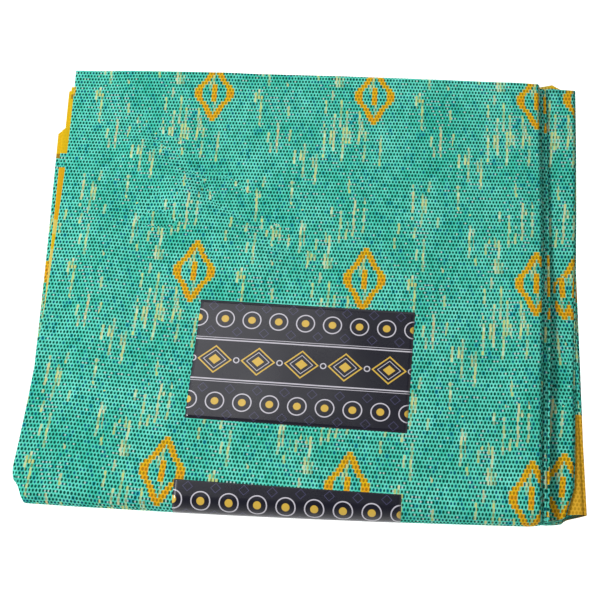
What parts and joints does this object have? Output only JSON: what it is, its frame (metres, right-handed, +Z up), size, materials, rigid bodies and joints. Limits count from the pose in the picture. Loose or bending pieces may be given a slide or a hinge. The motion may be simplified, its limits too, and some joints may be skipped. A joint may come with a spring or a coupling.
{
  "type": "folded kente cloth",
  "caption": "Length of thin printed cotton cloth, folded back and forth and then in half into a flat stack, with dark paper labels stuck on its top panel and over its front fold.",
  "frame": {"origin": "middle of the underside, on the surface that the folded cloth rests on", "axes": "+X to the right along the front fold, +Y from the front fold to the back, +Z up out of the top panel"},
  "size_m": [0.399, 0.3519, 0.0201],
  "materials": {
    "printed_cotton": "matt printed cotton: turquoise ground with small dark dots, pale gold streaks and amber diamonds",
    "label_paper": "coated paper, glossy dark navy with a small cream and gold ornament"
  },
  "bodies": {
    "root": {"cloth": "printed_cotton", "label_top": "label_paper", "label_front": "label_paper"}
  },
  "joints": []
}
